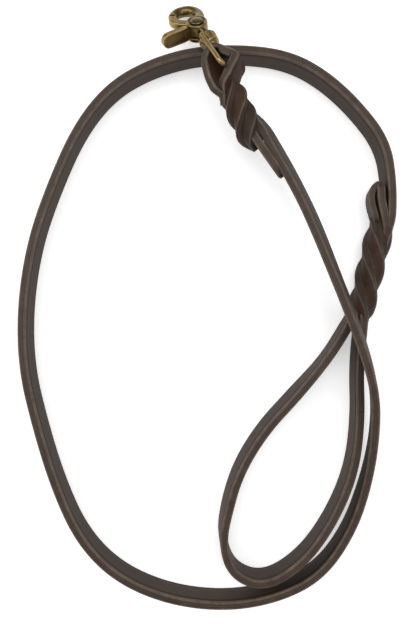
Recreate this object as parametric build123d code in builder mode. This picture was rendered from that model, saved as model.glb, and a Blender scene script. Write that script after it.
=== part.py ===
# A leather lead: one strap on edge, slit and braided at both ends, with a hand loop
# at one end and a swivel trigger snap at the other. Millimetres, +Z up, floor at z = 0.
import os
from math import cos, pi, radians, sin, tan

from build123d import *

os.makedirs("parts", exist_ok=True)

# ---- driving dimensions ----
strap_width = 19.0
strap_thick = 5.0
edge_round = 1.2  # burnished long edges
lying = strap_width / 2  # height of the strap's middle where it stands on the floor
strand_width = 8.2
strand_thick = 4.6
strand_gap = 0.2
handle_turn = -330  # degrees the handle braid twists, left-handed
snap_turn = 210  # degrees the snap braid twists, right-handed
handle_top = Vector(107.5, 56, 8.9)
handle_foot = Vector(90.8, -13, 8.9)
snap_top = Vector(10.9, 119.1, 30.8)
snap_foot = Vector(25, 91, 23.5)

fold_middle = Vector(9.2, 138.9, 31.6)  # where the fold's closed end is widest
fold_way = Vector(0.1, -0.994, -0.035)  # from the closed end to the braid
lean = Vector(-0.456, -0.077, 0.886)  # the crossbar's direction, up through the fold
crossbar_at = Vector(12.7, 131.4, 32.8)
wire_r = 1.6
eye_half = 12.0  # from the eye's middle to a side bar
base_r = 4.2
stem_r = 2.4
stem_head_r = 3.2
collar_r = 4.6
neck_r = 3.5
running = 0.05  # radial clearance of a turning fit
end_play = 0.3
snap_slope = 32  # degrees the hook points down
snap_roll = 15  # degrees the hook is turned in its swivel
rivet_at = Vector(-7.7, 165.1, 17.8)
head_way = Vector(-0.553, 0.833, 0)  # level direction that the snap points in
ring_out = 12.9  # from the rivet to the hook ring's middle
ring_r = 7.85
bar_r = 3.15
boss_r = 6.5
boss_half = 4.9
slot_half = 2.65
gate_half = 2.5
hub_r = 5.0
rivet_r = 1.9
rivet_head_r = 4.0
rivet_head = 1.2
tip_angle = 58  # where the hook ring ends, round its own middle
jaw_angle = 61.5
jaw_wide = 5.4
lever_reach = 22.7
lever_swept = 7.5  # degrees the lever leans back
lever_half = 4.25
lever_thick = 3.0
spring_r = 2.75
spring_wire_r = 0.35
pocket_r = 3.3

# ---- routes of the strap's middle line ----
lead_route = [
    (109.6, 54, lying), (110.2, 72, lying), (106.3, 98, lying), (87.5, 122, lying),
    (67.5, 139.5, lying), (46.8, 149.9, lying), (20.8, 153.4, lying), (-9.2, 152.4, lying),
    (-37.2, 144.4, lying), (-61.2, 130.4, lying), (-80.2, 106.4, lying),
    (-95.2, 73, lying), (-107.6, 38, lying), (-113.7, -1, lying), (-113, -39, lying),
    (-104.4, -75, lying), (-93.6, -110, lying), (-79.2, -142.1, lying),
    (-57.2, -165.1, lying), (-25.2, -179.1, lying), (10.8, -183.1, lying),
    (42.8, -177.1, lying), (67.8, -164.1, lying), (85.4, -138.6, 10.5),
    (95.2, -106.5, 14.5), (98.6, -75.9, 21), (96, -49.3, 28), (86.4, -22, 30.5),
    (72.8, 10.9, 29), (57.8, 48.9, 25), (46.5, 72, 23.8), (37.5, 92, 24), (27.5, 104, 26),
]
snap_side_cut = 5  # the runs, counted from 0, at whose middles the lead is divided
far_side_cut = 8
loop_route = [
    (86.2, -10, lying), (71.5, -34, lying), (52.5, -56, lying), (33, -77.5, lying),
    (18.2, -102, lying), (10.9, -127, lying), (8, -145, lying), (13.5, -164, lying),
    (33, -171.5, lying), (56, -157.5, lying), (74, -133, lying), (87, -103, lying),
    (91, -71, lying), (90, -39, lying), (92.9, -11, lying),
]
handle_tail_route = [(104.4, 55, lying), (102.9, 64, lying), (103.3, 72.5, lying)]
snap_tail_route = [(23.5, 91.5, 23.5), (30.5, 82, 22.8), (39.8, 70, 22.2)]


def corner_radii(points):
    """Each corner's arc uses 0.45 of the shorter of its two runs."""
    spots = [Vector(*point) for point in points]
    radii = []
    for before, here, after in zip(spots, spots[1:], spots[2:]):
        coming, going = here - before, after - here
        half_turn = radians(coming.get_angle(going)) / 2
        radii.append(0.45 * min(coming.length, going.length) / tan(half_turn))
    return radii


def run_middle(points, run):
    return (Vector(*points[run]) + Vector(*points[run + 1])) / 2


# ---- the strap's long stretches, each swept on edge along its route ----
lead_radii = corner_radii(lead_route)
snap_side = run_middle(lead_route, snap_side_cut)
far_side = run_middle(lead_route, far_side_cut)
stretches = {
    "lead_strap_top": (lead_route[: snap_side_cut + 1] + [snap_side], lead_radii[:snap_side_cut]),
    "lead_strap_under_snap": (
        [snap_side] + lead_route[snap_side_cut + 1 : far_side_cut + 1] + [far_side],
        lead_radii[snap_side_cut:far_side_cut],
    ),
    "lead_strap_main": ([far_side] + lead_route[far_side_cut + 1 :], lead_radii[far_side_cut:]),
    "hand_loop": (loop_route, corner_radii(loop_route)),
    "handle_tail": (handle_tail_route, corner_radii(handle_tail_route)),
    "snap_tail": (snap_tail_route, corner_radii(snap_tail_route)),
}
for stretch_name, (points, radii) in stretches.items():
    print(stretch_name, "radii", [round(radius, 1) for radius in radii])
    with BuildPart() as stretch:
        with BuildLine() as route:
            FilletPolyline(*points, radius=radii)
        path = route.wire()
        guide = path.moved(Location((0, 0, 2 * strap_width)))  # keeps the strap on edge
        start = Plane(path @ 0, x_dir=(path % 0).cross(Vector(0, 0, 1)), z_dir=path % 0)
        with BuildSketch(start):
            RectangleRounded(strap_thick, strap_width, edge_round)
        sweep(path=path, binormal=guide)
    section = strap_thick * strap_width - (4 - pi) * edge_round**2
    share = stretch.part.volume / (section * path.length)
    print(stretch_name, "length", round(path.length, 1), "volume share", round(share, 4))
    stretch.part.label = stretch_name
    export_step(stretch.part, f"parts/{stretch_name}.step")

# ---- braids: four half-width strands round an axis, each with its face outwards ----
braids = {
    "handle_braid_strand": (handle_foot, handle_top, handle_turn),
    "snap_braid_strand": (snap_foot, snap_top, snap_turn),
}
strand_out = (strand_width - strand_gap) / 2
strand_side = (strand_thick - strand_gap) / 2
for braid_name, (foot, top, turn) in braids.items():
    axis = top - foot
    end = Plane(foot, x_dir=axis.cross(Vector(0, 0, 1)), z_dir=axis)
    for quarter in range(4):
        with BuildSketch(end) as section:
            with Locations(Rotation(0, 0, 90 * quarter)):
                with Locations((-strand_side, strand_out)):
                    RectangleRounded(strand_width - strand_gap, strand_thick - strand_gap, 1.0)
        twisted = Solid.extrude_linear_with_rotation(section.sketch.face(), foot, axis, turn)
        with BuildPart() as strand:
            add(twisted)
        strand_name = f"{braid_name}_{quarter + 1}"
        strand.part.label = strand_name
        export_step(strand.part, f"parts/{strand_name}.step")

# ---- the fold of strap round the eye's crossbar ----
fold_route = [(22, 2.6), (19.5, 2.6), (10, 7.9), (-6.8, 7.9), (-6.8, -7.9), (10, -7.9), (19.5, -2.6), (22, -2.6)]
fold_plane = Plane(fold_middle, x_dir=fold_way, z_dir=lean)
with BuildPart() as snap_fold:
    with BuildLine(fold_plane) as route:
        FilletPolyline(*fold_route, radius=[4, 8, 6.7, 6.7, 8, 4])
    path = route.wire()
    start = Plane(path @ 0, x_dir=(path % 0).cross(fold_plane.z_dir), z_dir=path % 0)
    with BuildSketch(start):
        RectangleRounded(strap_thick, strap_width, edge_round)
    sweep(path=path)
snap_fold.part.label = "snap_fold"
export_step(snap_fold.part, "parts/snap_fold.step")

# ---- swivel eye: a rounded wire frame, a base disc and a stem with a flanged head ----
slope = radians(snap_slope)
ahead = Vector(head_way.X * cos(slope), head_way.Y * cos(slope), -sin(slope))
level = ahead.cross(Vector(0, 0, 1)).normalized() * -1
shank = Plane(rivet_at, x_dir=level, z_dir=ahead)  # heights count forward from the rivet
eye_head_at = shank.from_local_coords((0, 0, -20))
frame_way = eye_head_at - crossbar_at
eye_long = frame_way.length
frame_plane = Plane(crossbar_at, x_dir=frame_way, z_dir=frame_way.cross(lean))
with BuildPart() as swivel_eye:
    with BuildLine(frame_plane) as ring:
        FilletPolyline(
            (0, eye_half), (0, -eye_half), (eye_long, -eye_half), (eye_long, eye_half),
            radius=[3, 3, 7.5, 7.5], close=True,
        )
    path = ring.wire()
    with BuildSketch(Plane(path @ 0, z_dir=path % 0)):
        Circle(wire_r)
    sweep(path=path)
    with BuildSketch(shank.offset(-20.2)):
        Circle(base_r)
    extrude(amount=3.9)
    with BuildSketch(shank.offset(-17)):
        Circle(stem_r)
    extrude(amount=4.2)
    with BuildSketch(shank.offset(-14)):
        Circle(stem_head_r)
    extrude(amount=1.2)
swivel_eye.part.label = "swivel_eye"
export_step(swivel_eye.part, "parts/swivel_eye.step")

# ---- hook: barrel, neck, slotted boss and an open ring ----
hook_up = ahead.cross(level).rotate(Axis((0, 0, 0), ahead), snap_roll)
face = Plane(rivet_at, x_dir=ahead, z_dir=hook_up)  # x to the tip, y to the gate's side
with BuildPart() as hook:
    with BuildSketch(shank.offset(-16)):
        Circle(collar_r)
    extrude(amount=4.2)
    with BuildSketch(shank.offset(-12)):
        Circle(neck_r)
    extrude(amount=7)
    with BuildSketch(face):
        Circle(boss_r)
    extrude(amount=boss_half, both=True)
    with BuildLine(face) as curl:
        CenterArc((ring_out, 0), ring_r, -150, 150 + tip_angle)
    path = curl.wire()
    with BuildSketch(Plane(path @ 0, z_dir=path % 0)):
        Circle(bar_r)
    sweep(path=path)
    with BuildSketch(face):
        Circle(hub_r + 0.4)
        with BuildLine():
            Polyline((0, 0), (9, -1.6), (9, 9), (-8, 9), (-8, 5.2), (0, 0))
        make_face()
    extrude(amount=slot_half, both=True, mode=Mode.SUBTRACT)
    with BuildSketch(face):
        Circle(rivet_r)
    extrude(amount=boss_half, both=True, mode=Mode.SUBTRACT)
    with BuildSketch(shank.offset(-16)):
        Circle(stem_r + running)
    extrude(amount=3, mode=Mode.SUBTRACT)
    with BuildSketch(shank.offset(-14 - end_play)):
        Circle(stem_head_r + running)
    extrude(amount=1.2 + 2 * end_play, mode=Mode.SUBTRACT)
hook.part.label = "hook"
export_step(hook.part, "parts/hook.step")

# ---- gate: hub, jaw that closes the ring, and thumb lever ----
with BuildPart() as gate:
    with BuildSketch(face):
        Circle(hub_r)
        with BuildLine():
            jaw_out = CenterArc((ring_out, 0), ring_r + jaw_wide / 2, jaw_angle, 100)
            jaw_in = CenterArc((ring_out, 0), ring_r - jaw_wide / 2, jaw_angle, 100)
            Line(jaw_out @ 0, jaw_in @ 0)
            Line(jaw_out @ 1, jaw_in @ 1)
        make_face()
    extrude(amount=gate_half, both=True)
    with BuildSketch(face):
        with Locations(Rotation(0, 0, lever_swept)):
            with Locations((0, 6)):
                Rectangle(lever_thick, 6)
    extrude(amount=gate_half, both=True)
    lever_way = face.y_dir.rotate(Axis((0, 0, 0), face.z_dir), lever_swept)
    paddle = Plane(rivet_at, x_dir=lever_way, z_dir=face.z_dir.cross(lever_way))
    with BuildSketch(paddle):
        with Locations((lever_reach / 2 + 3.8, 0)):
            Rectangle(lever_reach - 7.6, 2 * lever_half)
        with Locations((lever_reach, 0)):
            Circle(lever_half)
    extrude(amount=lever_thick / 2, both=True)
    with BuildSketch(face):
        Circle(rivet_r + running)
    extrude(amount=gate_half, both=True, mode=Mode.SUBTRACT)
    with BuildSketch(face.offset(gate_half)):
        Circle(pocket_r)
    extrude(amount=-2.7, mode=Mode.SUBTRACT)
gate.part.label = "gate"
export_step(gate.part, "parts/gate.step")

# ---- rivet that the gate turns on, headed at both ends ----
with BuildPart() as rivet:
    with BuildSketch(face):
        Circle(rivet_r)
    extrude(amount=boss_half, both=True)
    for side in (1, -1):
        with BuildSketch(face.offset(side * boss_half)):
            Circle(rivet_head_r)
        extrude(amount=side * rivet_head)
rivet.part.label = "rivet"
export_step(rivet.part, "parts/rivet.step")

# ---- coil spring in the gate's pocket, round the rivet ----
with BuildPart() as gate_spring:
    coil_base = face.offset(0.25)
    with BuildLine() as coil:
        Helix(0.75, 1.5, spring_r, center=coil_base.origin, direction=coil_base.z_dir)
    path = coil.wire()
    with BuildSketch(Plane(path @ 0, z_dir=path % 0)):
        Circle(spring_wire_r)
    sweep(path=path, is_frenet=True)
gate_spring.part.label = "gate_spring"
export_step(gate_spring.part, "parts/gate_spring.step")
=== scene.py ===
import itertools
import math

import bmesh
import bpy
import numpy as np
from mathutils import Matrix, Vector


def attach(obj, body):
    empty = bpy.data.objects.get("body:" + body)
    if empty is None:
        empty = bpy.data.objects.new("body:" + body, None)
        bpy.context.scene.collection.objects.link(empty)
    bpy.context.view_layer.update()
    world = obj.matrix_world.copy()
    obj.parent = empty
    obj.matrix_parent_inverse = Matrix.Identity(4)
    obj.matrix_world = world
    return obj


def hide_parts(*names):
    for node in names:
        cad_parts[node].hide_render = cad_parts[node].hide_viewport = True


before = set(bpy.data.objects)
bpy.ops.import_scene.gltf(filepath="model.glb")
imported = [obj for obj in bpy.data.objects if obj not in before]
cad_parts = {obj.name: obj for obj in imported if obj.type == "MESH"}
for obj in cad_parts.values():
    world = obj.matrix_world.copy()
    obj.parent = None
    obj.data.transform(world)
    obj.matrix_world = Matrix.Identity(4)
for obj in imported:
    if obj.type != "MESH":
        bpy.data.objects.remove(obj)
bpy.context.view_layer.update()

mm = 0.001


# camera straight above the middle, looking down
cameraSettings = {"place": (-0.0012, -0.0051, 0.361), "focal": 570.0, "imageHeight": 624.0}
lens = bpy.data.cameras.new("camera")
lens.sensor_fit = "VERTICAL"
lens.angle = 2 * math.atan(cameraSettings["imageHeight"] / 2 / cameraSettings["focal"])
lens.clip_start = 0.01
camera = bpy.data.objects.new("camera", lens)
camera.location = cameraSettings["place"]
bpy.context.scene.collection.objects.link(camera)
bpy.context.scene.camera = camera
bpy.context.scene.view_settings.view_transform = "Standard"


class Signal:
    def __init__(self, tree, socket=None):
        self.tree = tree
        self.socket = socket

    def node(self, kind, settings=None, values=None, pick=0):
        made = self.tree.nodes.new("ShaderNode" + kind)
        for key, value in (settings or {}).items():
            if key == "stops":
                while len(made.color_ramp.elements) < len(value):
                    made.color_ramp.elements.new(1)
                for stop, (place, colour) in zip(made.color_ramp.elements, value):
                    stop.position, stop.color = place, colour
            else:
                setattr(made, key, value)
        for key, value in (values or {}).items():
            if isinstance(value, Signal):
                self.tree.links.new(value.socket, made.inputs[key])
            else:
                made.inputs[key].default_value = value
        return Signal(self.tree, made.outputs[pick])

    def maths(self, operation, first, second=0.0):
        return self.node("Math", {"operation": operation}, {0: first, 1: second})

    def __add__(self, other):
        return self.maths("ADD", self, other)

    def __sub__(self, other):
        return self.maths("SUBTRACT", self, other)

    def __rsub__(self, other):
        return self.maths("SUBTRACT", other, self)

    def __mul__(self, other):
        return self.maths("MULTIPLY", self, other)

    __radd__ = __add__
    __rmul__ = __mul__


def newMaterial(name):
    material = bpy.data.materials.new(name)
    material.use_nodes = True
    tree = material.node_tree
    shader = tree.nodes["Principled BSDF"]
    return material, Signal(tree), shader


def feed(signal, shader, socketName):
    signal.tree.links.new(signal.socket, shader.inputs[socketName])


def clamp01(signal):
    return signal.maths("MINIMUM", signal.maths("MAXIMUM", signal, 0.0), 1.0)


def blendColour(signal, factor, first, second, how="MIX"):
    return signal.node("Mix", {"data_type": "RGBA", "blend_type": how}, {0: factor, 6: first, 7: second}, 2)


def ease(signal, low, high):
    return signal.node("MapRange", {"interpolation_type": "SMOOTHSTEP"},
                       {0: signal, 1: low, 2: high, 3: 0.0, 4: 1.0})


# leather: brown faces, paler cut edges, painted shade in the creases, painted highlight lines (partly real
# rubbing) on the rounded corners
leatherSettings = {
    "face": (0.032, 0.0185, 0.0100, 1),
    "faceRed": (0.046, 0.0185, 0.0085, 1),
    "edge": (0.062, 0.041, 0.030, 1),
    # rubbed: painted highlight along the rounded corners, partly real rubbing
    "rubbedAndHighlight": (0.155, 0.116, 0.088, 1),
    # crease: painted shade in the crease grooves, on the edge tops and at the strand corners
    "creaseShade": (0.009, 0.006, 0.0045, 1),
}


def leatherMaterial(name, settings, redness):
    material, start, shader = newMaterial(name)
    place = start.node("TexCoord", None, None, 3)
    along = start.node("UVMap", {"uv_map": "along"})
    zones = start.node("Attribute", {"attribute_name": "zones"})
    split = start.node("SeparateColor", None, {0: zones})
    edge = split
    rubbedAndHighlight = Signal(start.tree, split.socket.node.outputs[1])
    creaseShade = Signal(start.tree, split.socket.node.outputs[2])
    broad = start.node("TexNoise", None, {"Vector": place, "Scale": 26.0, "Detail": 3.0, "Roughness": 0.6})
    mottle = start.node("TexNoise", None, {"Vector": place, "Scale": 190.0, "Detail": 4.0,
                                           "Roughness": 0.65})
    stretched = start.node("Mapping", None, {0: along, 3: (90.0, 2600.0, 1.0)})
    fibre = start.node("TexNoise", None, {"Vector": stretched, "Scale": 1.0, "Detail": 3.0,
                                          "Roughness": 0.6})
    grain = start.node("TexVoronoi", None, {"Vector": place, "Scale": 1500.0, "Randomness": 1.0})
    pores = start.node("TexNoise", None, {"Vector": place, "Scale": 2600.0, "Detail": 2.0})
    warmth = clamp01(ease(broad, 0.35, 0.7) * 0.6 + redness)
    face = blendColour(start, warmth, settings["face"], settings["faceRed"])
    body = blendColour(start, edge * (fibre * 0.5 + 0.7), face, settings["edge"])
    # painted highlight, partly real rubbing, lightens the rounded corners
    wornAndHighlit = blendColour(start, clamp01(rubbedAndHighlight * (mottle * 1.0 + 0.2)), body, settings["rubbedAndHighlight"])
    # painted shade darkens the crease grooves and strand corners
    dark = blendColour(start, creaseShade * 0.85, wornAndHighlit, settings["creaseShade"])
    tone = clamp01(mottle * 0.7 + fibre * 0.25 + 0.05)
    shade = start.node("ValToRGB", {"stops": [(0.2, (0.6, 0.6, 0.6, 1)), (0.75, (1.25, 1.22, 1.2, 1))]},
                       {0: tone})
    colour = blendColour(start, 1.0, dark, shade, "MULTIPLY")
    feed(colour, shader, "Base Color")
    feed(clamp01(0.56 - edge * 0.1 + mottle * 0.14 - rubbedAndHighlight * 0.06 + creaseShade * 0.2), shader, "Roughness")
    height = grain * 0.45 * (1.0 - edge * 0.8) + pores * 0.25 + fibre * 0.5 * edge + mottle * 0.8
    bump = start.node("Bump", None, {"Strength": 0.28, "Distance": 0.00025, "Height": height})
    feed(bump, shader, "Normal")
    shader.inputs["Specular IOR Level"].default_value = 0.24
    return material


# antique brass: dark in the hollows, golden where it is rubbed
brassSettings = {
    "patina": (0.014, 0.010, 0.005, 1),
    "olive": (0.080, 0.058, 0.026, 1),
    "gold": (0.50, 0.335, 0.115, 1),
    "verdigris": (0.080, 0.080, 0.045, 1),
}


def brassMaterial(name, settings, goldness):
    material, start, shader = newMaterial(name)
    place = start.node("TexCoord", None, None, 3)
    height = start.node("Attribute", {"attribute_name": "wear"}, None, 2)
    cloud = start.node("TexNoise", None, {"Vector": place, "Scale": 170.0, "Detail": 4.0, "Roughness": 0.62})
    fine = start.node("TexNoise", None, {"Vector": place, "Scale": 1300.0, "Detail": 3.0, "Roughness": 0.6})
    high = clamp01(height * 1.2 + cloud * 1.2 - 0.82 + goldness)
    low = clamp01(0.85 - height * 1.9 + fine * 0.3)
    base = blendColour(start, ease(cloud, 0.42, 0.66), settings["olive"], settings["verdigris"])
    rubbedAndHighlight = blendColour(start, high, base, settings["gold"])
    dark = blendColour(start, low * 0.9, rubbedAndHighlight, settings["patina"])
    feed(dark, shader, "Base Color")
    feed(clamp01(0.29 - high * 0.09 + low * 0.2 + fine * 0.10), shader, "Roughness")
    bump = start.node("Bump", None,
                      {"Strength": 0.35, "Distance": 0.00012, "Height": cloud * 1.2 + fine * 0.6})
    feed(bump, shader, "Normal")
    shader.inputs["Metallic"].default_value = 0.92
    return material


def steelMaterial(name):
    material, start, shader = newMaterial(name)
    place = start.node("TexCoord", None, None, 3)
    cloud = start.node("TexNoise", None, {"Vector": place, "Scale": 900.0, "Detail": 3.0})
    feed(blendColour(start, cloud, (0.30, 0.29, 0.27, 1), (0.52, 0.51, 0.49, 1)), shader, "Base Color")
    feed(cloud * 0.25 + 0.25, shader, "Roughness")
    shader.inputs["Metallic"].default_value = 1.0
    return material


leather = leatherMaterial("brownLeather", leatherSettings, 0.0)
redLeather = leatherMaterial("braidLeather", leatherSettings, 0.55)
brass = brassMaterial("antiqueBrass", brassSettings, 0.0)
goldBrass = brassMaterial("rubbedBrass", brassSettings, 0.32)
steel = steelMaterial("springWire")
print("materials ready")


# straps: one section swept along a smooth line, standing on edge
def strapSection(halfThick, halfWide, edgeRound=1.3, creaseIn=1.0, creaseDeep=0.28):
    # one quarter from the face's middle to the edge's middle: thickness, width, edge, rub with painted
    # highlight, painted crease shade
    top, side, cornerR = halfWide, halfThick, edgeRound
    quarter = [(side, 0.0, 0, 0, 0), (side, 0.5 * top, 0, 0, 0)]
    creaseAt = top - cornerR - creaseIn
    # the crease groove gets painted shade (last column)
    quarter += [(side, creaseAt - 0.5, 0, 0, 0), (side - creaseDeep, creaseAt, 0, 0, 1),
                (side, creaseAt + 0.45, 0.35, 0.25, 0.1)]
    for step in range(5):
        turn = math.radians(22.5 * step)
        # rub column: painted highlight on the rounded corner, partly real rubbing
        rubAndHighlight = (0.35, 0.9, 1.0, 0.75, 0.3)[step]
        quarter.append((side - cornerR + cornerR * math.cos(turn),
                        top - cornerR + cornerR * math.sin(turn), min(1, 0.5 + 0.25 * step), rubAndHighlight, 0))
    flat = side - cornerR
    quarter += [(flat * 0.62, top - 0.14, 1, 0, 0.3), (flat * 0.3, top - 0.02, 1, 0.12, 0)]
    middle = [(0.0, top, 1, 0.1, 0)]
    ring = quarter + middle
    ring += [(-x, y, e, r, c) for x, y, e, r, c in reversed(quarter)]
    lower = [(-x, -y, e, r, c) for x, y, e, r, c in quarter[1:]] + [(0.0, -top, 1, 0.1, 0)]
    lower += [(x, -y, e, r, c) for x, y, e, r, c in reversed(quarter[1:])]
    return ring + lower


def strapMesh(name, stations, section, material, tipIn=0.5):
    # stations: (place in m, thickness way, width way, thickness scale, width scale)
    verts, faces, uvs, zones = [], [], [], []
    count = len(section)
    around = [0.0]
    for here, there in zip(section, section[1:]):
        around.append(around[-1] + math.dist(here[:2], there[:2]) * mm)
    around.append(around[-1] + math.dist(section[-1][:2], section[0][:2]) * mm)
    travelled = [0.0]
    for here, there in zip(stations, stations[1:]):
        travelled.append(travelled[-1] + (there[0] - here[0]).length)
    for place, side, up, thick, wide in stations:
        # zone columns: cut edge, rubbing with painted highlight, painted crease shade
        for x, y, edge, rubAndHighlight, creaseShade in section:
            verts.append(place + side * (x * thick * mm) + up * (y * wide * mm))
            zones.append((edge, rubAndHighlight, creaseShade, 1.0))
    for ring in range(len(stations) - 1):
        for spot in range(count):
            after = (spot + 1) % count
            faces.append((ring * count + spot, ring * count + after, (ring + 1) * count + after,
                          (ring + 1) * count + spot))
            uvs += [(travelled[ring], around[spot]), (travelled[ring], around[spot + 1]),
                    (travelled[ring + 1], around[spot + 1]), (travelled[ring + 1], around[spot])]
    for ring, order in ((0, -1), (len(stations) - 1, 1)):
        cap = list(range(ring * count, (ring + 1) * count))[::order]
        faces.append(tuple(cap))
        uvs += [(travelled[ring], around[spot % count]) for spot in range(count)]
    data = bpy.data.meshes.new(name)
    data.from_pydata([tuple(v) for v in verts], [], faces)
    layer = data.uv_layers.new(name="along")
    layer.data.foreach_set("uv", [n for uv in uvs for n in uv])
    colours = data.attributes.new("zones", "FLOAT_COLOR", "POINT")
    colours.data.foreach_set("color", [n for c in zones for n in c])
    piece = bpy.data.objects.new(name, data)
    bpy.context.scene.collection.objects.link(piece)
    data.materials.append(material)
    shaped = bmesh.new()
    shaped.from_mesh(data)
    bmesh.ops.recalc_face_normals(shaped, faces=shaped.faces)
    shaped.to_mesh(data)
    shaped.free()
    for polygon in data.polygons:
        polygon.use_smooth = len(polygon.vertices) == 4
    return piece


def softEnd(stations, atStart, amount=0.5, halfThick=2.5, halfWide=9.5):
    # adds three rings that round the cut over the given millimetres
    ordered = list(stations) if atStart else list(reversed(stations))
    place, side, up, thick, wide = ordered[0]
    away = (place - ordered[1][0]).normalized()
    extra = []
    for angle in (80, 50, 20):
        inset = amount * (1 - math.sin(math.radians(90 - angle)))
        ahead = amount * math.sin(math.radians(angle))
        extra.append((place + away * (ahead * mm), side, up, thick * (halfThick - inset) / halfThick,
                      wide * (halfWide - inset) / halfWide))
    ordered = extra + ordered
    return ordered if atStart else list(reversed(ordered))


def smoothLine(name, points, resolution):
    curve = bpy.data.curves.new(name, "CURVE")
    curve.dimensions = "3D"
    spline = curve.splines.new("NURBS")
    spline.points.add(len(points) - 1)
    for spot, point in zip(spline.points, points):
        spot.co = (*point, 1)
    spline.order_u = 3
    spline.use_endpoint_u = True
    spline.resolution_u = resolution
    guide = bpy.data.objects.new(name, curve)
    bpy.context.scene.collection.objects.link(guide)
    seen = bpy.data.meshes.new_from_object(guide.evaluated_get(bpy.context.evaluated_depsgraph_get()))
    line = [v.co.copy() for v in seen.vertices]
    bpy.data.objects.remove(guide)
    return line


def byShare(table, share):
    # smooth steps between (share of the length, value) rows
    for (low, before), (high, after) in zip(table, table[1:]):
        if share <= high:
            part = max(0.0, (share - low) / (high - low))
            part = part * part * (3 - 2 * part)
            return before + (after - before) * part
    return table[-1][1]


def alongLine(line, leans, upward=Vector((0, 0, 1)), widths=((0, 1), (1, 1))):
    travelled = [0.0]
    for here, there in zip(line, line[1:]):
        travelled.append(travelled[-1] + (there - here).length)
    stations = []
    for spot, place in enumerate(line):
        way = (line[min(spot + 1, len(line) - 1)] - line[max(spot - 1, 0)]).normalized()
        up = (upward - way * upward.dot(way)).normalized()
        up = Matrix.Rotation(math.radians(byShare(leans, travelled[spot] / travelled[-1])), 3, way) @ up
        stations.append((place, way.cross(up), up, 1.0, byShare(widths, travelled[spot] / travelled[-1])))
    return stations, travelled[-1]


leadSettings = {
    "route": [
        (0.1050, 0.0300, 0.0085), (0.1096, 0.0450, 0.0093), (0.1102, 0.072, 0.0095), (0.1063, 0.098, 0.0095),
        (0.0875, 0.122, 0.0095), (0.0675, 0.1395, 0.0095), (0.0468, 0.1499, 0.0095),
        (0.0208, 0.1534, 0.0095), (-0.0092, 0.1524, 0.0095),
        (-0.0372, 0.1444, 0.0095), (-0.0612, 0.1304, 0.0095), (-0.0802, 0.1064, 0.0095),
        (-0.0952, 0.073, 0.0095), (-0.1076, 0.038, 0.0095), (-0.1137, -0.001, 0.0095),
        (-0.113, -0.039, 0.0095),
        (-0.1044, -0.075, 0.0095), (-0.0936, -0.110, 0.0095), (-0.0792, -0.1421, 0.0095),
        (-0.0572, -0.1651, 0.0095), (-0.0252, -0.1791, 0.0095), (0.0108, -0.1831, 0.0095),
        (0.0428, -0.1771, 0.0095), (0.0678, -0.1641, 0.0095), (0.0854, -0.1386, 0.0105),
        (0.0952, -0.1065, 0.0145), (0.0986, -0.0759, 0.021), (0.0963, -0.0492, 0.028),
        (0.0876, -0.0215, 0.0305),
        (0.0749, 0.0118, 0.029), (0.0607, 0.0500, 0.025), (0.0490, 0.0740, 0.0238), (0.0376, 0.0936, 0.0240),
        (0.0308, 0.1058, 0.0246), (0.0225, 0.1120, 0.0250),
    ],
    "leans": [(0, -10), (0.025, 0), (0.66, 0), (0.74, -5), (0.81, -14), (0.87, -19), (0.93, -23), (1, -26)],
    "widths": [(0, 0.4), (0.024, 1), (0.968, 1), (1, 0.5)],
}
loopSettings = {
    "route": [
        (0.0892, -0.0035, 0.0088), (0.0850, -0.0120, 0.0095), (0.0713, -0.034, 0.0095),
        (0.0521, -0.0557, 0.0095),
        (0.0322, -0.0772, 0.0095), (0.0171, -0.102, 0.0095), (0.0098, -0.127, 0.0095),
        (0.0072, -0.145, 0.0095),
        (0.0135, -0.164, 0.0095),
        (0.033, -0.1715, 0.0095), (0.056, -0.1575, 0.0095), (0.074, -0.133, 0.0095), (0.087, -0.103, 0.0095),
        (0.091, -0.071, 0.0095), (0.090, -0.039, 0.0095), (0.0929, -0.011, 0.0095), (0.0937, -0.003, 0.0088),
    ],
    "leans": [(0, 0), (0.08, 0), (0.18, -6), (0.36, -7), (0.46, 0), (1, 0)],
    "widths": [(0, 0.6), (0.035, 1), (0.975, 1), (1, 0.6)],
}
strapShape = strapSection(2.5, 9.5)

leadLine = smoothLine("leadLine", leadSettings["route"], 14)
leadStations, leadLength = alongLine(leadLine, leadSettings["leans"], widths=leadSettings["widths"])
leadStrap = strapMesh("leadStrap", leadStations, strapShape, leather)
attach(leadStrap, "lead")
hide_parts("lead_strap_top", "lead_strap_under_snap", "lead_strap_main")

loopLine = smoothLine("loopLine", loopSettings["route"], 14)
loopStations, loopLength = alongLine(loopLine, loopSettings["leans"], widths=loopSettings["widths"])
handLoop = strapMesh("handLoop", loopStations, strapShape, leather)
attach(handLoop, "lead")
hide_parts("hand_loop")
print("straps laid", round(leadLength, 3), round(loopLength, 3))


# tails: the strap's free ends, rounded at the tip
def roundTip(stations, tipLong, halfWide=9.5, cornerR=5.0):
    travelled = 0.0
    shaped = []
    back = list(reversed(stations))
    for spot, (place, side, up, thick, wide) in enumerate(back):
        if spot:
            travelled += (place - back[spot - 1][0]).length / mm
        if travelled < tipLong:
            part = 1 - travelled / tipLong
            inset = cornerR * (1 - math.sqrt(max(0.0, 1 - part * part)))
            wide = wide * (halfWide - inset) / halfWide
        shaped.append((place, side, up, thick, wide))
    return list(reversed(shaped))


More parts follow.
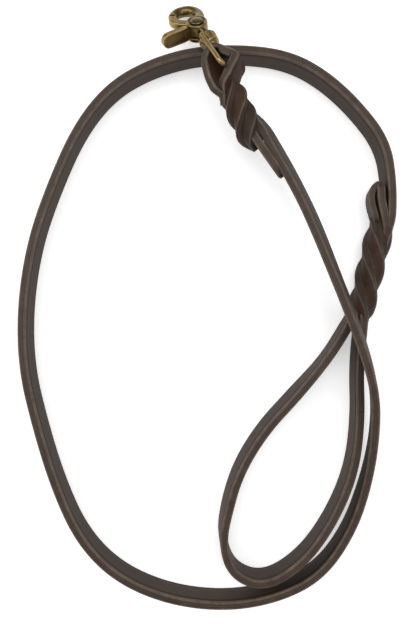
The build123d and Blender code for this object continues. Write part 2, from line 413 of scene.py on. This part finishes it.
tailSettings = {
    "handleTail": {"route": [(0.1084, 0.0365, 0.0065), (0.1072, 0.0465, 0.0092), (0.1048, 0.0560, 0.0095),
                             (0.1031, 0.064, 0.0095),
                             (0.1033, 0.0725, 0.0095)],
                   "lean": 0, "node": "handle_tail", "widths": [(0, 0.3), (0.35, 0.95), (0.5, 1), (1, 1)],
                   "curl": True},
    "snapTail": {"route": [(0.0238, 0.1030, 0.0230), (0.0312, 0.0922, 0.0236), (0.0372, 0.0838, 0.0230),
                           (0.0426, 0.0764, 0.0225)],
                 "lean": 14, "node": "snap_tail", "widths": [(0, 0.6), (0.25, 1), (1, 1)], "curl": False},
}
curlSettings = {
    "route": [(0.1032, 0.0465, 0.0058), (0.1014, 0.0535, 0.0088), (0.0994, 0.0595, 0.0090),
              (0.0988, 0.0652, 0.0088),
              (0.1000, 0.0702, 0.0086), (0.1028, 0.0718, 0.0086)],
    "halfThick": 2.0, "halfWide": 7.6, "lean": -8, "widths": [(0, 0.3), (0.3, 1), (1, 1)],
}
for tailName, facts in tailSettings.items():
    line = smoothLine(tailName + "Line", facts["route"], 24)
    stations = alongLine(line, [(0, facts["lean"]), (1, facts["lean"])], widths=facts["widths"])[0]
    stations = softEnd(roundTip(stations, 5.0), False, 1.5)
    tail = strapMesh(tailName, stations, strapShape, leather)
    if facts["curl"]:
        curlLine = smoothLine("curlLine", curlSettings["route"], 14)
        curlLeans = [(0, curlSettings["lean"]), (1, curlSettings["lean"])]
        curlStations = alongLine(curlLine, curlLeans, widths=curlSettings["widths"])[0]
        curlStations = softEnd(curlStations, False, 0.8, curlSettings["halfThick"], curlSettings["halfWide"])
        curl = strapMesh("curl", curlStations,
                         strapSection(curlSettings["halfThick"], curlSettings["halfWide"], 1.0, 0.8),
                         leather)
        bpy.ops.object.select_all(action="DESELECT")
        curl.select_set(True)
        tail.select_set(True)
        bpy.context.view_layer.objects.active = tail
        bpy.ops.object.join()
    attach(tail, "lead")
    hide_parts(facts["node"])


# the fold that holds the eye's crossbar
foldSettings = {
    "lean": (-0.456, -0.077, 0.886),
    "route": [(0.0105, 0.1150, 0.0290), (0.0106, 0.1205, 0.0300), (0.0112, 0.1255, 0.0308),
              (0.0124, 0.1307, 0.0310),
              (0.0148, 0.1359, 0.0305), (0.0165, 0.1412, 0.0290), (0.0125, 0.1440, 0.0280),
              (0.0073, 0.1460, 0.0270),
              (0.0034, 0.1452, 0.0268), (0.0024, 0.1395, 0.0280), (0.0045, 0.1324, 0.0298),
              (0.0075, 0.1261, 0.0308),
              (0.0105, 0.1200, 0.0300)],
    "leans": [(0, -30), (0.12, -18), (0.24, 4), (0.36, 12), (0.5, 6), (0.6, 4), (0.72, 18), (0.86, 26),
              (1, 24)],
    "widths": [(0, 0.45), (0.2, 0.9), (0.3, 1), (0.9, 1), (1, 0.5)],
}
foldLean = Vector(foldSettings["lean"]).normalized()
foldLine = smoothLine("foldLine", foldSettings["route"], 16)
foldStations = alongLine(foldLine, foldSettings["leans"], foldLean, foldSettings["widths"])[0]
snapFold = strapMesh("snapFold", foldStations, strapShape, redLeather)
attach(snapFold, "lead")
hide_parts("snap_fold")


# braids: the strap's halves wound round each other
def strandSection(halfThick=2.35, halfWide=4.45, cornerR=1.35, crown=0.45):
    side, top = halfThick, halfWide
    quarter = []
    for share in (0.0, 0.3, 0.55, 0.78):
        quarter.append((side + crown * (1 - share * share) - crown * 0.6, share * (top - cornerR), 0,
                        0.12 * share, 0))
    for step in range(5):
        turn = math.radians(22.5 * step)
        # rub: painted highlight on the strand's corner; last column: painted shade where strands meet
        rubAndHighlight = (0.3, 0.85, 0.7, 0.2, 0.0)[step]
        quarter.append((side - crown * 0.6 - cornerR + cornerR * math.cos(turn),
                        top - cornerR + cornerR * math.sin(turn),
                        0.25 * step, rubAndHighlight, (0, 0, 0.25, 0.7, 0.45)[step]))
    ring = quarter + [(0.0, top, 1.0, 0, 0.1)]
    ring += [(-x, y, e, r, c) for x, y, e, r, c in reversed(quarter)]
    lower = [(-x, -y, e, r, c) for x, y, e, r, c in quarter[1:]] + [(0.0, -top, 1.0, 0, 0.1)]
    lower += [(x, -y, e, r, c) for x, y, e, r, c in reversed(quarter[1:])]
    return ring + lower


def nearestSlots(spots, slots):
    best = min(itertools.permutations(range(len(slots))),
               key=lambda order: sum((spot - slots[pick]["place"]).length
                                     for spot, pick in zip(spots, order)))
    return [slots[pick] for pick in best]


def strapSlots(straps):
    # each strap end gives the braid an upper and a lower half
    slots = []
    for end in straps:
        up = Vector(end["up"]).normalized()
        for half in (1, -1):
            slots.append({"place": Vector(end["place"]) + up * (half * 4.6 * mm), "up": up,
                          "way": Vector(end["way"]).normalized(), "share": end["share"]})
    return slots


strandSettings = {
    "aside": -2.2, "out": 4.0,  # where a strand runs, millimetres from the braid's axis
    "sink": 0.85, "endWidth": 0.55, "overrun": 0.03,  # how loose ends go in toward the axis
    "slotThin": 0.22,
}


def braidStrands(name, foot, top, turn, footStraps, topStraps, settings):
    # strands come out of the straps' halves where straps are given, or else sink in at the ends
    foot, top = Vector(foot), Vector(top)
    axis = top - foot
    long = axis.length
    way = axis / long
    first = axis.cross(Vector((0, 0, 1))).normalized()
    second = way.cross(first)

    def tucked(share):
        if not settings["tuck"]:
            return 1.0
        beyond = max(settings["tuck"] - share, share - 1 + settings["tuck"], 0)
        return 1 - strandSettings["sink"] * min(
            1, beyond / (settings["tuck"] + strandSettings["overrun"])) ** 2

    def helix(quarter, share):
        turned = math.radians(90 * quarter + settings["phase"] + turn * share)
        x = strandSettings["aside"]
        y = strandSettings["out"] + settings["swell"] * math.sin(math.pi * min(1, max(0, share)))
        inward = tucked(share)
        x, y = x * inward, y * inward
        place = foot + axis * share
        place += first * ((x * math.cos(turned) - y * math.sin(turned)) * mm)
        place += second * ((x * math.sin(turned) + y * math.cos(turned)) * mm)
        return place, turned

    slotsAt = []
    for share, straps in ((0, footStraps), (1, topStraps)):
        spots = [helix(q, share)[0] for q in range(4)]
        slotsAt.append(nearestSlots(spots, strapSlots(straps)) if straps else [])
    strands = []
    for quarter in range(4):
        ends = []
        for slots, blend in zip(slotsAt, settings["blends"]):
            if slots:
                ends.append((slots[quarter], slots[quarter]["share"], blend))
        low, high = -strandSettings["overrun"], 1 + strandSettings["overrun"]
        if ends:
            low, high = ends[0][1], ends[1][1]
        line = []
        for step in range(settings["steps"] + 1):
            share = low + (high - low) * step / settings["steps"]
            place, turned = helix(quarter, share)
            thin = strandSettings["endWidth"] + (1 - strandSettings["endWidth"]) * tucked(share)
            for slot, edgeShare, reach in ends:
                part = max(0.0, 1 - abs(share - edgeShare) / reach)
                part = part * part * (3 - 2 * part)
                if part <= 0:
                    continue
                straight = slot["place"] + slot["way"] * (abs(share - edgeShare) * long)
                place = place.lerp(straight, part)
                flat = slot["up"] - way * slot["up"].dot(way)
                slotTurn = math.atan2(flat.dot(second), flat.dot(first))
                slotTurn += math.pi * round((turned - slotTurn) / math.pi)
                turned = turned + (slotTurn - turned) * part
                thin = min(thin, 1 - strandSettings["slotThin"] * part)
            line.append((place, turned, thin))
        stations = []
        for spot, (place, turned, thin) in enumerate(line):
            along = (line[min(spot + 1, len(line) - 1)][0] - line[max(spot - 1, 0)][0]).normalized()
            wide = first * math.cos(turned) + second * math.sin(turned)
            wide = (wide - along * wide.dot(along)).normalized()
            stations.append((place, along.cross(wide), wide, thin, thin))
        strands.append(strapMesh(name + str(quarter + 1), stations, settings["section"],
                                 (redLeather, leather)[quarter % 2]))
    bpy.ops.object.select_all(action="DESELECT")
    for strand in strands:
        strand.select_set(True)
    bpy.context.view_layer.objects.active = strands[0]
    bpy.ops.object.join()
    braid = bpy.context.object
    braid.name = name
    return braid


handleBraid = braidStrands(
    "handleBraid", (0.0908, -0.013, 0.0089), (0.1075, 0.056, 0.0089), -330,
    [{"place": (0.0818, -0.0165, 0.0094), "up": (0, 0, 1), "way": (0.56, 0.83, 0), "share": -0.07},
     {"place": (0.0924, -0.0165, 0.0094), "up": (0, 0, 1), "way": (0.08, 1, 0), "share": -0.07}],
    [{"place": (0.1100, 0.060, 0.0094), "up": (0, 0, 1), "way": (-0.08, -1, 0), "share": 1.06},
     {"place": (0.1034, 0.060, 0.0094), "up": (0, 0, 1), "way": (0.14, -1, 0), "share": 1.06}],
    {"steps": 84, "blends": (0.2, 0.16), "swell": 0.3, "phase": 0, "tuck": 0, "section": strandSection()})
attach(handleBraid, "lead")
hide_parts(*["handle_braid_strand_" + str(n) for n in (1, 2, 3, 4)])

snapBraid = braidStrands(
    "snapBraid", (0.0272, 0.0930, 0.0235), (0.0098, 0.1280, 0.0300), 278, [], [],
    {"steps": 72, "blends": (), "swell": 0.4, "phase": -20, "tuck": 0.26, "section": strandSection()})
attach(snapBraid, "lead")
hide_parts(*["snap_braid_strand_" + str(n) for n in (1, 2, 3, 4)])
print("fold, tails and braids made")


# snap: cast pieces modelled in the hook's own frame, millimetres along the snap
snapSettings = {
    "rivetAt": (-7.7, 165.1, 17.8), "ahead": (-0.468971, 0.706424, -0.529919),
    "up": (-0.067505, 0.569641, 0.819117),
    "ringOut": 15.0, "ringR": 8.2, "barR": 3.15, "bossR": 6.5, "bossHalf": 4.7,
}
ahead = Vector(snapSettings["ahead"]).normalized()
hookUp = Vector(snapSettings["up"]).normalized()
sideways = hookUp.cross(ahead).normalized()
rivetPlace = Vector(snapSettings["rivetAt"]) * mm
toRow = Matrix((ahead, sideways, hookUp)).transposed().to_4x4()
toRow.translation = rivetPlace


def clearPick():
    if bpy.context.object and bpy.context.object.mode != "OBJECT":
        bpy.ops.object.mode_set(mode="OBJECT")
    bpy.ops.object.select_all(action="DESELECT")


def rod(radius, fromPlace, toPlace, endRadius=None, sides=48):
    clearPick()
    start, finish = Vector(fromPlace) * mm, Vector(toPlace) * mm
    way = finish - start
    bpy.ops.mesh.primitive_cone_add(vertices=sides, radius1=radius * mm,
                                    radius2=(radius if endRadius is None else endRadius) * mm,
                                    depth=way.length, location=(start + finish) / 2,
                                    rotation=way.to_track_quat("Z", "Y").to_euler())
    return bpy.context.object


def block(size, at, turnZ=0.0, turnX=0.0):
    clearPick()
    bpy.ops.mesh.primitive_cube_add(size=1, location=Vector(at) * mm,
                                    rotation=(math.radians(turnX), 0, math.radians(turnZ)))
    made = bpy.context.object
    made.scale = Vector(size) * mm
    bpy.ops.object.transform_apply(location=False, rotation=False, scale=True)
    return made


def bead(radius, at, squash=(1, 1, 1)):
    clearPick()
    bpy.ops.mesh.primitive_uv_sphere_add(segments=40, ring_count=24, radius=radius * mm,
                                         location=Vector(at) * mm)
    made = bpy.context.object
    made.scale = squash
    bpy.ops.object.transform_apply(location=False, rotation=False, scale=True)
    return made


def hoop(radius, wire, at, way=(0, 0, 1)):
    clearPick()
    bpy.ops.mesh.primitive_torus_add(major_radius=radius * mm, minor_radius=wire * mm, major_segments=72,
                                     minor_segments=18, location=Vector(at) * mm,
                                     rotation=Vector(way).to_track_quat("Z", "Y").to_euler())
    return bpy.context.object


def bent(points, wire, radii=None, closed=False):
    clearPick()
    curve = bpy.data.curves.new("bent", "CURVE")
    curve.dimensions = "3D"
    curve.bevel_depth = wire * mm
    curve.bevel_resolution = 8
    curve.use_fill_caps = True
    spline = curve.splines.new("POLY")
    spline.points.add(len(points) - 1)
    for spot, point in enumerate(points):
        spline.points[spot].co = (*(Vector(point) * mm), 1)
        spline.points[spot].radius = radii[spot] if radii else 1.0
    spline.use_cyclic_u = closed
    made = bpy.data.objects.new("bent", curve)
    bpy.context.scene.collection.objects.link(made)
    made.select_set(True)
    bpy.context.view_layer.objects.active = made
    bpy.ops.object.convert(target="MESH")
    return bpy.context.object


def together(parts):
    clearPick()
    for part in parts:
        part.select_set(True)
    bpy.context.view_layer.objects.active = parts[0]
    bpy.ops.object.transform_apply(location=True, rotation=True, scale=True)
    if len(parts) > 1:
        bpy.ops.object.join()
    return bpy.context.object


def withModifier(piece, kind, **settings):
    clearPick()
    piece.select_set(True)
    bpy.context.view_layer.objects.active = piece
    modifier = piece.modifiers.new(kind, kind)
    for key, value in settings.items():
        setattr(modifier, key, value)
    bpy.ops.object.modifier_apply(modifier=modifier.name)


def cast(name, parts, cuts, voxel, softening, matrix, material, body, nodes):
    # parts are fused and cut, then softened as a casting is, and worn on their high spots
    piece = together(parts)
    withModifier(piece, "REMESH", mode="VOXEL", voxel_size=voxel * mm)
    for cut in cuts:
        cut = together([cut])
        withModifier(piece, "BOOLEAN", operation="DIFFERENCE", object=cut, solver="EXACT")
        bpy.data.objects.remove(cut)
    withModifier(piece, "REMESH", mode="VOXEL", voxel_size=voxel * mm)
    withModifier(piece, "SMOOTH", factor=0.5, iterations=softening)
    piece.data.transform(matrix)
    piece.name = name
    wear(piece)
    piece.data.materials.clear()
    piece.data.materials.append(material)
    clearPick()
    piece.select_set(True)
    bpy.context.view_layer.objects.active = piece
    bpy.ops.object.shade_smooth()
    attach(piece, body)
    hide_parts(*nodes)
    return piece


def wear(piece, spread=6, gain=2200.0):
    # 0 in hollows, about 0.4 on flats, 1 on the high edges
    data = piece.data
    count = len(data.vertices)
    places = np.empty(count * 3)
    data.vertices.foreach_get("co", places)
    places = places.reshape(-1, 3)
    normals = np.empty(count * 3)
    data.vertex_normals.foreach_get("vector", normals)
    normals = normals.reshape(-1, 3)
    edges = np.empty(len(data.edges) * 2, dtype=np.int64)
    data.edges.foreach_get("vertices", edges)
    edges = edges.reshape(-1, 2)
    near = np.bincount(edges.ravel(), minlength=count).astype(float)
    near[near == 0] = 1

    def average(values):
        total = np.zeros_like(values)
        np.add.at(total, edges[:, 0], values[edges[:, 1]])
        np.add.at(total, edges[:, 1], values[edges[:, 0]])
        return total / near[:, None]

    smooth = places
    for turn in range(spread):
        smooth = average(smooth)
    bulge = ((places - smooth) * normals).sum(axis=1, keepdims=True)
    for turn in range(3):
        bulge = average(bulge)
    value = np.clip(0.4 + bulge[:, 0] * gain, 0, 1)
    layer = data.attributes.new("wear", "FLOAT", "POINT")
    layer.data.foreach_set("value", value)
    print(piece.name, "wear", round(float(value.min()), 2), round(float(value.mean()), 2),
          round(float(value.max()), 2))


def ringPoint(degrees, radius=snapSettings["ringR"], height=0.0):
    turn = math.radians(degrees)
    return (snapSettings["ringOut"] + radius * math.cos(turn), radius * math.sin(turn), height)


hookParts = [rod(4.6, (-16, 0, 0), (-11.8, 0, 0)), rod(3.3, (-12.5, 0, 0), (-4, 0, 0)),
             rod(snapSettings["bossR"], (0, 0, -snapSettings["bossHalf"]),
                 (0, 0, snapSettings["bossHalf"]), sides=72)]
hookParts += [hoop(4.35, 0.45, (-15.4, 0, 0), (1, 0, 0)), hoop(4.3, 0.45, (-12.5, 0, 0), (1, 0, 0))]
for turn in range(8):
    angle = math.radians(45 * turn + 22.5)
    hookParts.append(rod(0.75, (-12.4, 4.0 * math.cos(angle), 4.0 * math.sin(angle)),
                         (-4.0, 3.1 * math.cos(angle), 3.1 * math.sin(angle) * 1.25), 1.0, 16))
ringAngles = [-172 + 6 * n for n in range(39)]
ringTaper = [1.06 - 0.1 * n / len(ringAngles) for n in range(len(ringAngles))]
hookParts.append(bent([ringPoint(a) for a in ringAngles], snapSettings["barR"], ringTaper))
hookParts.append(bent([(2, -3.2, 0), (6, -4.2, 0), (9, -6.2, 0)], 3.2, [1.15, 1.1, 1.0]))
for side in (1, -1):
    hookParts.append(hoop(5.75, 0.62, (0, 0, side * 4.55)))
hookCuts = [rod(4.35, (0, 0, 4.15), (0, 0, 7), sides=64), rod(4.35, (0, 0, -7), (0, 0, -4.15), sides=64),
            rod(5.5, (0, 0, -2.7), (0, 0, 2.7), sides=64), block((17, 9.4, 5.4), (0.5, 4.3 + 1.2, 0)),
            block((9, 8, 5.4), (4.5, 2.6, 0))]
hook = cast("hook", hookParts, hookCuts, 0.24, 5, toRow, brass, "snap_hook", ["hook"])

gateParts = [rod(4.9, (0, 0, -2.4), (0, 0, 2.4), sides=64)]
jawAngles = [62 + 5 * n for n in range(23)]
for layer in (-1.15, -0.4, 0.4, 1.15):
    gateParts.append(bent([ringPoint(a, height=layer) for a in jawAngles], 1.3))
    gateParts.append(bent([ringPoint(a, snapSettings["ringR"] + 1.35, layer) for a in jawAngles], 1.3))
    gateParts.append(bent([ringPoint(a, snapSettings["ringR"] - 1.3, layer) for a in jawAngles], 1.3))
leverSettings = {"reach": 19.8, "swept": 3.0, "tipR": 4.15, "rimR": 3.75, "rimUp": 1.35}  # swept in degrees
leverTurn = math.radians(leverSettings["swept"])
leverWay = Vector((-math.sin(leverTurn), math.cos(leverTurn), 0))
leverFlat = Vector((leverWay.y, -leverWay.x, 0))


def onLever(out, across, flat=0.0):
    return tuple(leverWay * out + Vector((0, 0, across)) + leverFlat * flat)


gateParts.append(block((3.0, 12.9, 8.3), onLever(13.3, 0), leverSettings["swept"]))
gateParts.append(rod(leverSettings["tipR"], onLever(leverSettings["reach"], 0, -1.5),
                     onLever(leverSettings["reach"], 0, 1.5), sides=64))
gateParts.append(block((3.4, 6.5, 4.9), onLever(5.6, 0), leverSettings["swept"]))
gateParts.append(block((6.0, 4.2, 4.6), (5.2, 1.6, 0), 10))
for side in (1, -1):
    reach, rimR, rimUp = leverSettings["reach"], leverSettings["rimR"], side * leverSettings["rimUp"]
    rim = [onLever(8.5, -rimR, rimUp), onLever(reach, -rimR, rimUp)]
    for degrees in range(15, 180, 15):
        angle = math.radians(degrees)
        rim.append(onLever(reach + rimR * math.sin(angle), -rimR * math.cos(angle), rimUp))
    rim += [onLever(reach, rimR, rimUp), onLever(8.5, rimR, rimUp)]
    gateParts.append(bent(rim, 0.5))
gateCuts = [rod(1.95, (0, 0, -4), (0, 0, 4), sides=40), rod(3.3, (0, 0, -0.1), (0, 0, 3.5), sides=48)]
gate = cast("gate", gateParts, gateCuts, 0.22, 4, toRow, goldBrass, "trigger", ["gate"])

rivetParts = [rod(1.85, (0, 0, -5), (0, 0, 5), sides=40)]
for side in (1, -1):
    rivetParts += [rod(3.9, (0, 0, side * 4.6), (0, 0, side * 5.3), sides=56),
                   bead(3.9, (0, 0, side * 5.2), (1, 1, 0.3))]
rivet = cast("rivet", rivetParts, [], 0.13, 4, toRow, brass, "snap_hook", ["rivet"])

eyeSettings = {"crossbarAt": (11.3, 135.2, 32.8), "lean": (-0.456, -0.077, 0.886),
               "topReach": 12, "lowReach": 11, "wire": 1.45,
               "collarBack": 13.9, "collarR": 4.9, "topRootOut": 5.5, "lowRootOut": 5.0, "ribs": 12}
crossbar = Vector(eyeSettings["crossbarAt"])
eyeUp = Vector(eyeSettings["lean"]).normalized()
fromRivet = Vector(snapSettings["rivetAt"])


def onShank(x):
    return tuple(fromRivet + ahead * x)


eyeSquare = (eyeUp - ahead * eyeUp.dot(ahead)).normalized()
eyeAcross = ahead.cross(eyeSquare)
collarAt = Vector(onShank(-eyeSettings["collarBack"]))
topRoot = collarAt + eyeSquare * eyeSettings["topRootOut"]
lowRoot = collarAt - eyeSquare * eyeSettings["lowRootOut"]
topEnd = crossbar + eyeUp * eyeSettings["topReach"]
lowEnd = crossbar - eyeUp * eyeSettings["lowReach"]
topWay = (topRoot - topEnd).normalized()
eyeLine = [topRoot, topEnd + topWay * 2.6, topEnd + topWay * 0.9 - eyeUp * 0.8, topEnd - eyeUp * 2.6,
           crossbar, lowEnd + eyeUp * 2.6, lowEnd + Vector((-0.8, 0.9, 0.8)),
           lowEnd + Vector((-2.4, 2.6, 0.2)),
           Vector((4.4, 151.8, 23.0)), lowRoot]
eyeParts = [bent([tuple(p) for p in eyeLine], eyeSettings["wire"]),
            rod(4.2, onShank(-20.1), onShank(-16.4), sides=56)]
eyeParts += [hoop(4.0, 0.5, onShank(-17.0), ahead), hoop(4.0, 0.5, onShank(-19.4), ahead),
             bead(3.6, onShank(-20.2))]
eyeParts += [rod(2.35, onShank(-17), onShank(-12.8), sides=40),
             rod(3.15, onShank(-14), onShank(-12.85), sides=40)]
eyeParts += [hoop(eyeSettings["collarR"], 0.9, tuple(collarAt), ahead), bead(1.7, tuple(topRoot)),
             bead(1.6, tuple(lowRoot))]
for turn in range(eyeSettings["ribs"]):
    angle = math.radians(360 / eyeSettings["ribs"] * turn)
    out = eyeSquare * math.cos(angle) + eyeAcross * math.sin(angle)
    eyeParts.append(rod(1.0, tuple(Vector(onShank(-18.6)) + out * 3.7), tuple(collarAt + out * 4.6),
                        1.3, 20))
swivelEye = cast("swivelEye", eyeParts, [], 0.22, 4, Matrix.Identity(4), goldBrass, "eye", ["swivel_eye"])

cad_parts["gate_spring"].data.materials.clear()
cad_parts["gate_spring"].data.materials.append(steel)
print("snap made")


# floor and light
bpy.ops.object.select_all(action="DESELECT")
bpy.ops.mesh.primitive_circle_add(vertices=96, radius=2.2, fill_type="NGON", location=(0, 0, -0.0003))
floor = bpy.context.object
floor.name = "floor"
paper, start, shader = newMaterial("palePaper")
place = start.node("TexCoord", None, None, 3)
tooth = start.node("TexNoise", None, {"Vector": place, "Scale": 60.0, "Detail": 3.0})
feed(blendColour(start, tooth, (0.90, 0.90, 0.895, 1), (0.93, 0.93, 0.925, 1)), shader, "Base Color")
shader.inputs["Roughness"].default_value = 0.9
shader.inputs["Emission Color"].default_value = (1, 1, 1, 1)
shader.inputs["Emission Strength"].default_value = 0.44
floor.data.materials.append(paper)

lightSettings = {
    "overhead": {"place": (0.0, 0.25, 1.1), "target": (0, 0, 0), "size": (1.0, 0.8), "watts": 6.4},
    "left": {"place": (-0.9, 0.3, 0.75), "target": (0, 0, 0), "size": (0.6, 0.9), "watts": 4.2},
    "right": {"place": (0.9, -0.2, 0.8), "target": (0, 0, 0), "size": (0.6, 0.9), "watts": 2.6},
}
for lightName, facts in lightSettings.items():
    lamp = bpy.data.lights.new(lightName, "AREA")
    lamp.shape = "RECTANGLE"
    lamp.size, lamp.size_y = facts["size"]
    lamp.energy = facts["watts"]
    holder = bpy.data.objects.new(lightName, lamp)
    holder.location = facts["place"]
    holder.rotation_euler = (Vector(facts["target"]) - Vector(facts["place"])).to_track_quat(
        "-Z", "Y").to_euler()
    bpy.context.scene.collection.objects.link(holder)
sky = bpy.data.worlds.new("studio")
sky.use_nodes = True
sky.node_tree.nodes["Background"].inputs[0].default_value = (0.93, 0.95, 1.0, 1)
sky.node_tree.nodes["Background"].inputs[1].default_value = 0.30
bpy.context.scene.world = sky
print("floor and light set")
